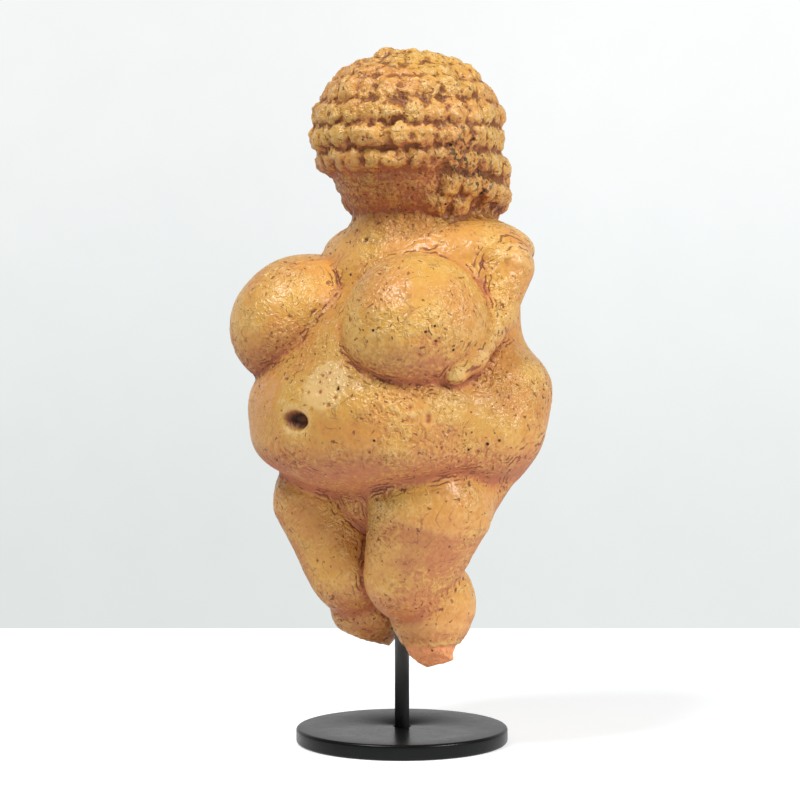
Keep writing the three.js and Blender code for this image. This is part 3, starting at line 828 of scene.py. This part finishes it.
castStone = {
    "ochre": tone(224, 171, 82),
    "tan": tone(219, 154, 78),
    "pinkBrown": tone(184, 104, 66),
    "earthAndShade": tone(118, 60, 35),
    "hairEarthAndShade": tone(138, 83, 38),
    "holeShadeColour": tone(26, 16, 11),
    "freshBreak": tone(252, 164, 110),
    "wearAndHighlightCream": tone(250, 212, 144),
    "roughness": (0.34, 0.60),
    "broadBlotch": (14 * millimetre, 0.40, 0.62),  # size, and where the mask begins and is whole
    "smallBlotch": (2.2 * millimetre, 0.38, 0.66),
    "hairCoarseness": 0.8,
    "pink": {"hollow": 0.5, "cavity": 0.4, "under": 0.75, "small": 0.34},
    "pinkInRelief": (-3.2, -2.0),  # for each millimetre that the fine detail stands up, and more where crude
    "pinkMost": 0.95,
    "wearAndHighlight": {"pale": 1.3, "raised": 0.3, "cavity": -0.9, "cavityOfHair": 0.5, "most": 0.7},
    "maskEdge": (0.10, 1.0),
    "betweenBeads": (0.10, 0.9),
    "betweenBeadsBlotch": 0.3,
    "betweenBeadsMost": 0.8,
    "deepHollow": (0.60, 1.0),
    "deepCavity": (0.60, 1.8),
    "deepShadeAmount": (0.08, 0.35),  # the least, and what the small blotches add
    "crudeStainAndShade": 0.34,
    "fleckStain": 0.72,
    "pitDarkness": 0.8,
    "breakDirt": 0.4,
    "navelDark": (0.6, 0.4),
    "hairHoles": {"size": 0.9 * millimetre, "edge": (0.50, 0.40), "darkness": 0.8},
    "glossEdge": (0.2, 0.9),
}


def castStoneMaterial():
    look = castStone
    material, tree, sockets, coords = newMaterial("castStone")

    def masks(*names):
        return (addField(tree, "ShaderNodeAttribute", output="Fac", attribute_name=name) for name in names)

    hollow, under, cavity, pit, patch, crude = masks("hollow", "under", "cavity", "pit", "patch", "crude")
    hair, holed, crease, pale, navel, fresh = masks("hair", "holed", "crease", "pale", "navel", "fresh")
    coarse = highest(patch, hair * look["hairCoarseness"])
    detail = useGroup(tree, castDetail, coords, Rough=coarse, Holed=holed, Crease=crease)

    # Ochre and tan wander into each other. Pink-brown is painted shade in hollows, creases, fine recesses of
    # the relief and on undersides, and it also wanders in small blotches
    colour = mixColour(tree, blotchMask(tree, coords, *look["broadBlotch"]), look["tan"], look["ochre"])
    small = blotchMask(tree, coords, *look["smallBlotch"])
    low = hollow * look["pink"]["hollow"] + cavity * look["pink"]["cavity"] + under * look["pink"]["under"]
    inRelief, inCrudeRelief = look["pinkInRelief"]
    low = detail["Height"] * (crude * inCrudeRelief + inRelief) + low
    low = small * look["pink"]["small"] + low
    colour = mixColour(tree, low.remap(*look["maskEdge"]) * look["pinkMost"], colour, look["pinkBrown"])
    # Cream is wear on the raised relief and the bead tops, and painted highlight: the pale place on the upper
    # belly is a painted highlight, and the cream is held back on undersides, where shade falls
    wearAndHighlight = look["wearAndHighlight"]
    high = pale * wearAndHighlight["pale"] + detail["Raised"] * wearAndHighlight["raised"]
    high = cavity * (hair * wearAndHighlight["cavityOfHair"] + wearAndHighlight["cavity"]) + high
    high = high.remap(*look["maskEdge"]) * (under * -wearAndHighlight["most"] + wearAndHighlight["most"])
    colour = mixColour(tree, high, colour, look["wearAndHighlightCream"])

    # Darker brown: between the beads a brown wash and painted shade in the grooves, in the deep hollows
    # painted shade, where the skin is crude blotches that in the creases are painted shade, brown stains in
    # the flecks, and darker pits
    between = hair * (small * look["betweenBeadsBlotch"] + cavity).remap(*look["betweenBeads"])
    colour = mixColour(tree, between * look["betweenBeadsMost"], colour, look["hairEarthAndShade"])
    deepShadeMask = highest(hollow.remap(*look["deepHollow"]), cavity.remap(*look["deepCavity"]))
    leastDeep, blotchDeep = look["deepShadeAmount"]
    stainAndShade = highest(deepShadeMask * (small * blotchDeep + leastDeep), crude * (small * look["crudeStainAndShade"]),
                    detail["Fleck"] * look["fleckStain"], pit * look["pitDarkness"])
    colour = mixColour(tree, stainAndShade, colour, look["earthAndShade"])
    colour = mixColour(tree, fresh * (1 - small * look["breakDirt"]), colour, look["freshBreak"])

    # Painted shade in holes: black in the bubbles, at the navel's depth and in clusters of pinholes in the
    # hair
    leastDark, blotchDark = look["navelDark"]
    holes = look["hairHoles"]
    clustered = noise(tree, coords, 1 / holes["size"], 1.0).remap(*holes["edge"]) * (hair * holed)
    dark = highest(detail["Bubble"], navel * (small * blotchDark + leastDark), clustered * holes["darkness"])
    colour = mixColour(tree, dark, colour, look["holeShadeColour"])
    feed(tree, sockets["Base Color"], colour)
    feed(tree, sockets["Roughness"], (low + fresh).remap(*look["glossEdge"], *look["roughness"], "LINEAR"))
    addBump(tree, sockets, detail["Height"], millimetre)
    return material


# The painted metal of the stand: the foot's coat is satin; the rod's is the same black painted paler, as
# painted light standing in for the light that the figure's shadow keeps off it, and a little duller
blackCoats = {
    "foot": {
        "coat": tone(13, 14, 14),
        "rubbed": tone(18, 19, 19),
        "roughness": (0.27, 0.31),
        "specular": 0.17,
    },
    "rod": {
        "coat": tone(68, 68, 67),
        "rubbed": tone(76, 76, 75),
        "roughness": (0.38, 0.46),
        "specular": 0.5,
    },
    "cloud": (6 * millimetre, 0.35, 0.70),
    "smear": (2.5 * millimetre, 0.30, 0.75),
    "grainSize": 0.30 * millimetre,
    "grainRoughness": 0.5,
    "grainHeight": 0.004 * millimetre,
}


def blackMetalMaterial(part):
    coat = blackCoats[part]
    material, tree, sockets, coords = newMaterial(part + "Black")
    sockets["Specular IOR Level"].default_value = coat["specular"]
    cloud = blotchMask(tree, coords, *blackCoats["cloud"])
    feed(tree, sockets["Base Color"], mixColour(tree, cloud, coat["coat"], coat["rubbed"]))
    smear = blotchMask(tree, coords, *blackCoats["smear"])
    feed(tree, sockets["Roughness"], smear.remap(0.0, 1.0, *coat["roughness"], "LINEAR"))
    size, roughness = blackCoats["grainSize"], blackCoats["grainRoughness"]
    height = useGroup(tree, grain, coords, Size=size, Roughness=roughness)["Height"]
    addBump(tree, sockets, height, blackCoats["grainHeight"])
    return material


stoneLook, footLook, rodLook = castStoneMaterial(), blackMetalMaterial("foot"), blackMetalMaterial("rod")
print("materials made")


# Where the skin's masks lie: sizes in shares of the figure's height, and a pair gives a mask's two edges
skinPlaces = {
    "hollowProbes": ((0.008, 0.42), (0.02, 0.40), (0.045, 0.18)),  # reach and weight
    "hollow": (0.08, 0.75),
    "under": (-0.85, 0.25),  # how far the skin faces up
    "hairline": (-5, 3),  # in degrees above it
    "offHead": (0.020, 0.034),
    "face": {"fromFront": (75, 95), "level": (-0.4, -0.2), "reach": 0.20},
    "legEnd": (0.035, 0.075),
    "crude": {"face": 0.8, "hollow": 0.4, "legEnd": 0.6},
    "crudeHollow": (0.35, 0.75),
    "navelRim": (1.0, 1.35),  # in shares of its radius
    "navelDepth": (0.000, 0.018),
    "freshBreak": (0.028, 0.052),
    "dented": ((0.050, -0.218, 0.455, 0.058), (0.185, -0.155, 0.405, 0.050)),  # middles and reaches
    # Where a painted highlight lies on the upper belly
    "pale": ((0.050, -0.218, 0.460, 0.052),),
    "holed": ((0.225, -0.150, 0.530, 0.050), (0.236, -0.054, 0.387, 0.045),
              (0.140, -0.005, 0.815, 0.050), (0.140, 0.040, 0.780, 0.040)),
    "placeCore": 0.4,
    "farthestCrease": 0.1,
}


def smoothStep(value, low, high):
    t = np.clip((value - low) / (high - low), 0, 1)
    return t * t * (3 - 2 * t)


def smoothFall(value, low, high):
    return smoothStep(-value, -high, -low)


# How shut in each point is: how little the form's distance grows on the way out from it
def hollowMask(p, normals):
    shut = np.zeros(len(p), np.float32)
    for reach, weight in skinPlaces["hollowProbes"]:
        shut += weight * np.clip(1 - figure(p + normals * reach) / reach, 0, 1)
    return smoothStep(shut, *skinPlaces["hollow"])


# Each point as seen from the head's middle: its level from -1 to 1, its degrees from the front, its distance
def aroundHead(p):
    offset = p - np.float32(hairCap["headCentre"])
    away = np.sqrt((offset * offset).sum(-1))
    return offset[:, 2] / away, np.abs(np.degrees(np.arctan2(offset[:, 0], -offset[:, 1]))), away


def hairMask(p):
    angles = hairCap["angles"]
    level, fromFront, away = aroundHead(p)
    down = np.degrees(np.arccos(np.clip(level, -1, 1)))
    edge = smoothStep(fromFront, angles["Face Half Angle"], angles["Face Half Angle"] + angles["Face Edge"])
    front, back = angles["Hairline Front"], angles["Hairline Back"]
    onHead = smoothFall(head(p), *skinPlaces["offHead"])
    return smoothStep(front + (back - front) * edge - down, *skinPlaces["hairline"]) * onHead


# The blank face, the creases and the leg ends are left cruder than the rest
def crudeMask(p, hollow):
    place, share = skinPlaces["face"], skinPlaces["crude"]
    level, fromFront, away = aroundHead(p)
    face = smoothFall(fromFront, *place["fromFront"]) * smoothFall(level, *place["level"])
    return np.maximum.reduce([
        share["face"] * (face * (away < place["reach"])),
        share["hollow"] * smoothStep(hollow, *skinPlaces["crudeHollow"]),
        share["legEnd"] * smoothFall(p[:, 2], *skinPlaces["legEnd"]),
    ])


def navelMask(p):
    rim, edge = (share * figurine["navelRadius"] for share in skinPlaces["navelRim"])
    depth = p[:, 1] - figurine["navelCentre"][1]
    return smoothFall(navelDistance(p), rim, edge) * smoothStep(depth, *skinPlaces["navelDepth"])


# Down one broken leg end from its upper edge, 0 to 1
def freshMask(p):
    return smoothFall(p[:, 2], *skinPlaces["freshBreak"]) * (p[:, 0] > 0)


def placeMask(p, name):
    masks = []
    for x, y, z, reach in skinPlaces[name]:
        away = np.sqrt(((p - np.float32((x, y, z))) ** 2).sum(-1))
        masks.append(smoothFall(away, skinPlaces["placeCore"] * reach, reach))
    return np.maximum.reduce(masks)


# How far each point is from the nearest crease between two parts, in shares
def creaseDistance(p):
    torso = ("chest", "upperBack", "yoke", "hips", "belly", "bellyTop", "bellyLow")
    parts = [np.minimum.reduce([mass(p, name) for name in torso]), mass(p, "pelvis")]
    for side in (1, -1):
        parts += [breast(p, side), arm(p, side), wholeLeg(p, side), mass(p, "buttock", side)]
    nearest, second = np.sort(parts, axis=0)[:2]
    return np.clip(second - nearest, 0, skinPlaces["farthestCrease"])


def makeFigurine():
    cell = figurine["firstSkinCell"] / figurine["height"]
    points, faces = gridSkin(figure, *figurine["firstSkinBox"], cell)
    points = settled(figure, points.astype(np.float32), cell / 2)
    piece = meshPiece("figurine_cast", toMetres(points), faces)
    print("figurine first skin:", len(points), "points")

    capValues = hairCapValues()
    addTree(piece, hairCapTree(capValues), {**capValues, "Material": stoneLook})
    fuse = piece.modifiers.new("fuse", "REMESH")
    fuse.mode = "VOXEL"
    fuse.voxel_size = figurine["fineSkinCell"]
    bake(piece)
    print("figurine with its cap of beads:", len(piece.data.vertices), "points")

    points, normals = pointsAndNormals(piece.data)
    p = toShares(points)
    hair = hairMask(p)
    hollow = hollowMask(p, normals) * (1 - hair)
    masks = {
        "hair": hair,
        "hollow": hollow,
        "crude": crudeMask(p, hollow),
        "under": smoothFall(normals[:, 2], *skinPlaces["under"]),
        "navel": navelMask(p),
        "fresh": freshMask(p),
        "crease": creaseDistance(p),
        **{name: placeMask(p, name) for name in ("dented", "holed", "pale")},
    }
    for name, values in masks.items():
        layer = piece.data.attributes.new(name, "FLOAT", "POINT")
        layer.data.foreach_set("value", np.asarray(values, np.float32))
    addTree(piece, castSkinTree(), {**castSkin, "Material": stoneLook})
    bake(piece)
    thin = piece.modifiers.new("thin", "DECIMATE")
    thin.ratio = min(1, figurine["mostTriangles"] / (2 * len(piece.data.polygons)))
    bake(piece)
    print("figurine skin finished:", sum(len(face.vertices) - 2 for face in piece.data.polygons), "triangles")
    return piece


# A closed turned form about the Z axis, from its outline as radius and height, both ends on the axis
def turnedPiece(name, outline, sides, material):
    points = [(0, 0, outline[0][1])]
    turns = [math.tau * k / sides for k in range(sides)]
    for radius, height in outline[1:-1]:
        points += [(radius * math.cos(turn), radius * math.sin(turn), height) for turn in turns]
    points.append((0, 0, outline[-1][1]))
    last = len(points) - 1
    edges = [(k, (k + 1) % sides) for k in range(sides)]
    faces = [(0, 1 + b, 1 + a) for a, b in edges]
    for row in range(len(outline) - 3):
        lower, upper = 1 + row * sides, 1 + (row + 1) * sides
        faces += [(lower + a, lower + b, upper + b, upper + a) for a, b in edges]
    faces += [(last - sides + a, last - sides + b, last) for a, b in edges]
    piece = meshPiece(name, points, faces)
    piece.data.materials.append(material)
    return piece


def roundedCorner(centreRadius, centreHeight, radius, startAngle, steps=6):
    angles = [math.radians(startAngle + 90 * k / steps) for k in range(steps + 1)]
    return [(centreRadius + radius * math.cos(a), centreHeight + radius * math.sin(a)) for a in angles]


stand = {
    "footEdgeRound": 0.55 * millimetre,
    "footSides": 144,
    "seatClearance": 0.3 * millimetre,
    "seatEdgeRound": 0.12 * millimetre,
    "rodChamfer": 0.3 * millimetre,
    "rodSides": 64,
}


def makeFoot():
    radius, top, edge = footHigh.x, footHigh.z, stand["footEdgeRound"]
    seat, seatFloor = rodHigh.x + stand["seatClearance"], rodLow.z
    soft = stand["seatEdgeRound"]
    outline = [(0, 0), (radius - edge, 0)]
    outline += roundedCorner(radius - edge, edge, edge, -90)[1:]
    outline += roundedCorner(radius - edge, top - edge, edge, 0)
    outline += [(seat + soft, top), (seat, top - soft), (seat, seatFloor), (0, seatFloor)]
    return turnedPiece("foot_disc", outline, stand["footSides"], footLook)


def makeRod():
    radius, chamfer = rodHigh.x, stand["rodChamfer"]
    outline = [(0, rodLow.z), (radius, rodLow.z), (radius, rodHigh.z - chamfer),
               (radius - chamfer, rodHigh.z), (0, rodHigh.z)]
    return turnedPiece("support_rod", outline, stand["rodSides"], rodLook)


for piece, node, slot in ((makeFigurine(), "figurine", "cast_stone"),
                          (makeRod(), "stand_rod", "black_metal"),
                          (makeFoot(), "stand_foot", "black_metal")):
    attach(piece, "root")
    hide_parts(node)
print("pieces made and placed")


# The photograph's view: the camera stands to the figure's left front, a little above its middle
photoView = {
    "azimuth": math.radians(45),
    "elevation": math.radians(2.74),
    "distance": 450.5 * millimetre,
    "aimHeight": 61.5 * millimetre,
    "aimRight": -0.36 * millimetre,
    "lens": 113.4,
    "sensor": 36,
    "nearest": 10 * millimetre,
}
viewRight = Vector((math.cos(photoView["azimuth"]), math.sin(photoView["azimuth"]), 0))
viewAhead = Vector((-math.sin(photoView["azimuth"]), math.cos(photoView["azimuth"]), 0))
middle = Vector((0, 0, photoView["aimHeight"]))


# A camera or light at a distance from a point that it looks at
def placeLooking(name, data, aim, azimuth, elevation, distance):
    back = Vector((math.sin(azimuth) * math.cos(elevation), -math.cos(azimuth) * math.cos(elevation),
                   math.sin(elevation)))
    made = bpy.data.objects.new(name, data)
    bpy.context.scene.collection.objects.link(made)
    made.location = aim + back * distance
    made.rotation_euler = (-back).to_track_quat("-Z", "Y").to_euler()
    return made


def addCamera():
    data = bpy.data.cameras.new("photoCamera")
    data.lens = photoView["lens"]
    data.sensor_width = photoView["sensor"]
    data.clip_start = photoView["nearest"]
    aim = middle + viewRight * photoView["aimRight"]
    azimuth, elevation, distance = (photoView[name] for name in ("azimuth", "elevation", "distance"))
    bpy.context.scene.camera = placeLooking("photoCamera", data, aim, azimuth, elevation, distance)


studio = {
    "floorBehind": 147 * millimetre,
    "floorReach": 0.7,
    "floorColour": tone(221, 226, 227),
    "floorBlotchColour": tone(225, 229, 230),
    "floorBlotch": (0.2, 0.3, 0.7),
    "floorRoughness": 0.8,
    "wallLow": tone(224, 229, 228),
    "wallHigh": tone(245, 247, 247),
    "wallAngles": (math.radians(-8), math.radians(6.5)),
    "wallRightGain": 1.075,
    "wallRightEdge": (-0.09, 0.09),
    "wallMottle": 0.010,
    "wallMottleScale": 45,
    "wallGlow": 0.80,  # what the pale wall behind and the dim room in front send to the object
    "wallGlowEdge": (0.1, 0.8),
    "wallGlowAngles": (math.radians(25), math.radians(50)),
    "roomGlow": 0.09,
    "floorShine": 0.50,
    "floorGlow": 0.50,  # painted light: near the object the floor glows, standing in for the light that the table sends up
    "floorGlowCentre": (35 * millimetre, 0, 0),
    "floorGlowReach": (30 * millimetre, 130 * millimetre),
    "floorFarColour": tone(208, 208, 208),
    "lights": (  # name, azimuth, elevation, distance, size, watts
        ("leftLight", -3, 57, 0.9, 0.30, 5.8),
        ("rightLight", 100, 32, 0.9, 0.30, 5.5),
    ),
}
white = (1, 1, 1, 1)


def cameraRay(tree):
    return addField(tree, "ShaderNodeLightPath", output="Is Camera Ray")


def addFloor():
    side, front = viewRight * studio["floorReach"], -viewAhead * studio["floorReach"]
    back = viewAhead * studio["floorBehind"]
    floor = meshPiece("floor", [front - side, front + side, back + side, back - side], [(0, 1, 2, 3)])
    material, tree, sockets, coords = newMaterial("floorWhite")
    cloud = blotchMask(tree, coords, *studio["floorBlotch"])
    plain = mixColour(tree, cloud, studio["floorColour"], studio["floorBlotchColour"])
    # Painted light for the rays that bounce onto the object: the floor is paler and glows near the object and
    # is greyer farther off; the camera sees it plain
    away = calcVector(tree, "LENGTH", calcVector(tree, "SUBTRACT", coords, studio["floorGlowCentre"]))
    near, far = studio["floorGlowReach"]
    lit = mixColour(tree, away.remap(near, far), plain, studio["floorFarColour"])
    seen = cameraRay(tree)
    feed(tree, sockets["Base Color"], mixColour(tree, seen, lit, plain))
    sockets["Roughness"].default_value = studio["floorRoughness"]
    sockets["Emission Color"].default_value = white
    glow = away.remap(near, far, studio["floorGlow"], 0.0)
    feed(tree, sockets["Emission Strength"], seen.remap(0, 1, glow, studio["floorShine"], "LINEAR"))
    floor.data.materials.append(material)


def addWorld():
    world = bpy.data.worlds.new("studio")
    bpy.context.scene.world = world
    world.use_nodes = True
    tree = world.node_tree
    direction = Field(tree, tree.nodes.new("ShaderNodeTexCoord").outputs["Generated"])
    up = calc(tree, "ARCSINE", splitVector(tree, direction)[2])

    # The wall as the camera sees it: paler towards the top and to the right, and a little uneven
    wall = mixColour(tree, up.remap(*studio["wallAngles"]), studio["wallLow"], studio["wallHigh"])
    across = calcVector(tree, "DOT_PRODUCT", direction, viewRight)
    gain = across.remap(*studio["wallRightEdge"], 1.0, studio["wallRightGain"])
    mottle = noise(tree, direction, studio["wallMottleScale"], 3.0, 0.6)
    gain = gain + (mottle * 4 - 2) * studio["wallMottle"]

    # The light that it gives: strong from the wall behind, weak from the room and from above
    behind = calcVector(tree, "DOT_PRODUCT", direction, viewAhead)
    glow = behind.remap(*studio["wallGlowEdge"], studio["roomGlow"], studio["wallGlow"])
    glow = up.remap(*studio["wallGlowAngles"], glow, studio["roomGlow"])
    seen = cameraRay(tree)
    back = tree.nodes["Background"].inputs
    feed(tree, back["Color"], mixColour(tree, seen, white, wall))
    feed(tree, back["Strength"], seen.remap(0, 1, glow, gain, "LINEAR"))


def addLights():
    for name, azimuth, elevation, distance, size, watts in studio["lights"]:
        data = bpy.data.lights.new(name, "AREA")
        data.shape, data.size, data.energy = "DISK", size, watts
        placeLooking(name, data, middle, math.radians(azimuth), math.radians(elevation), distance)


addCamera()
addFloor()
addWorld()
addLights()
bpy.context.scene.view_settings.view_transform = "Standard"
print("camera, floor and lights set")
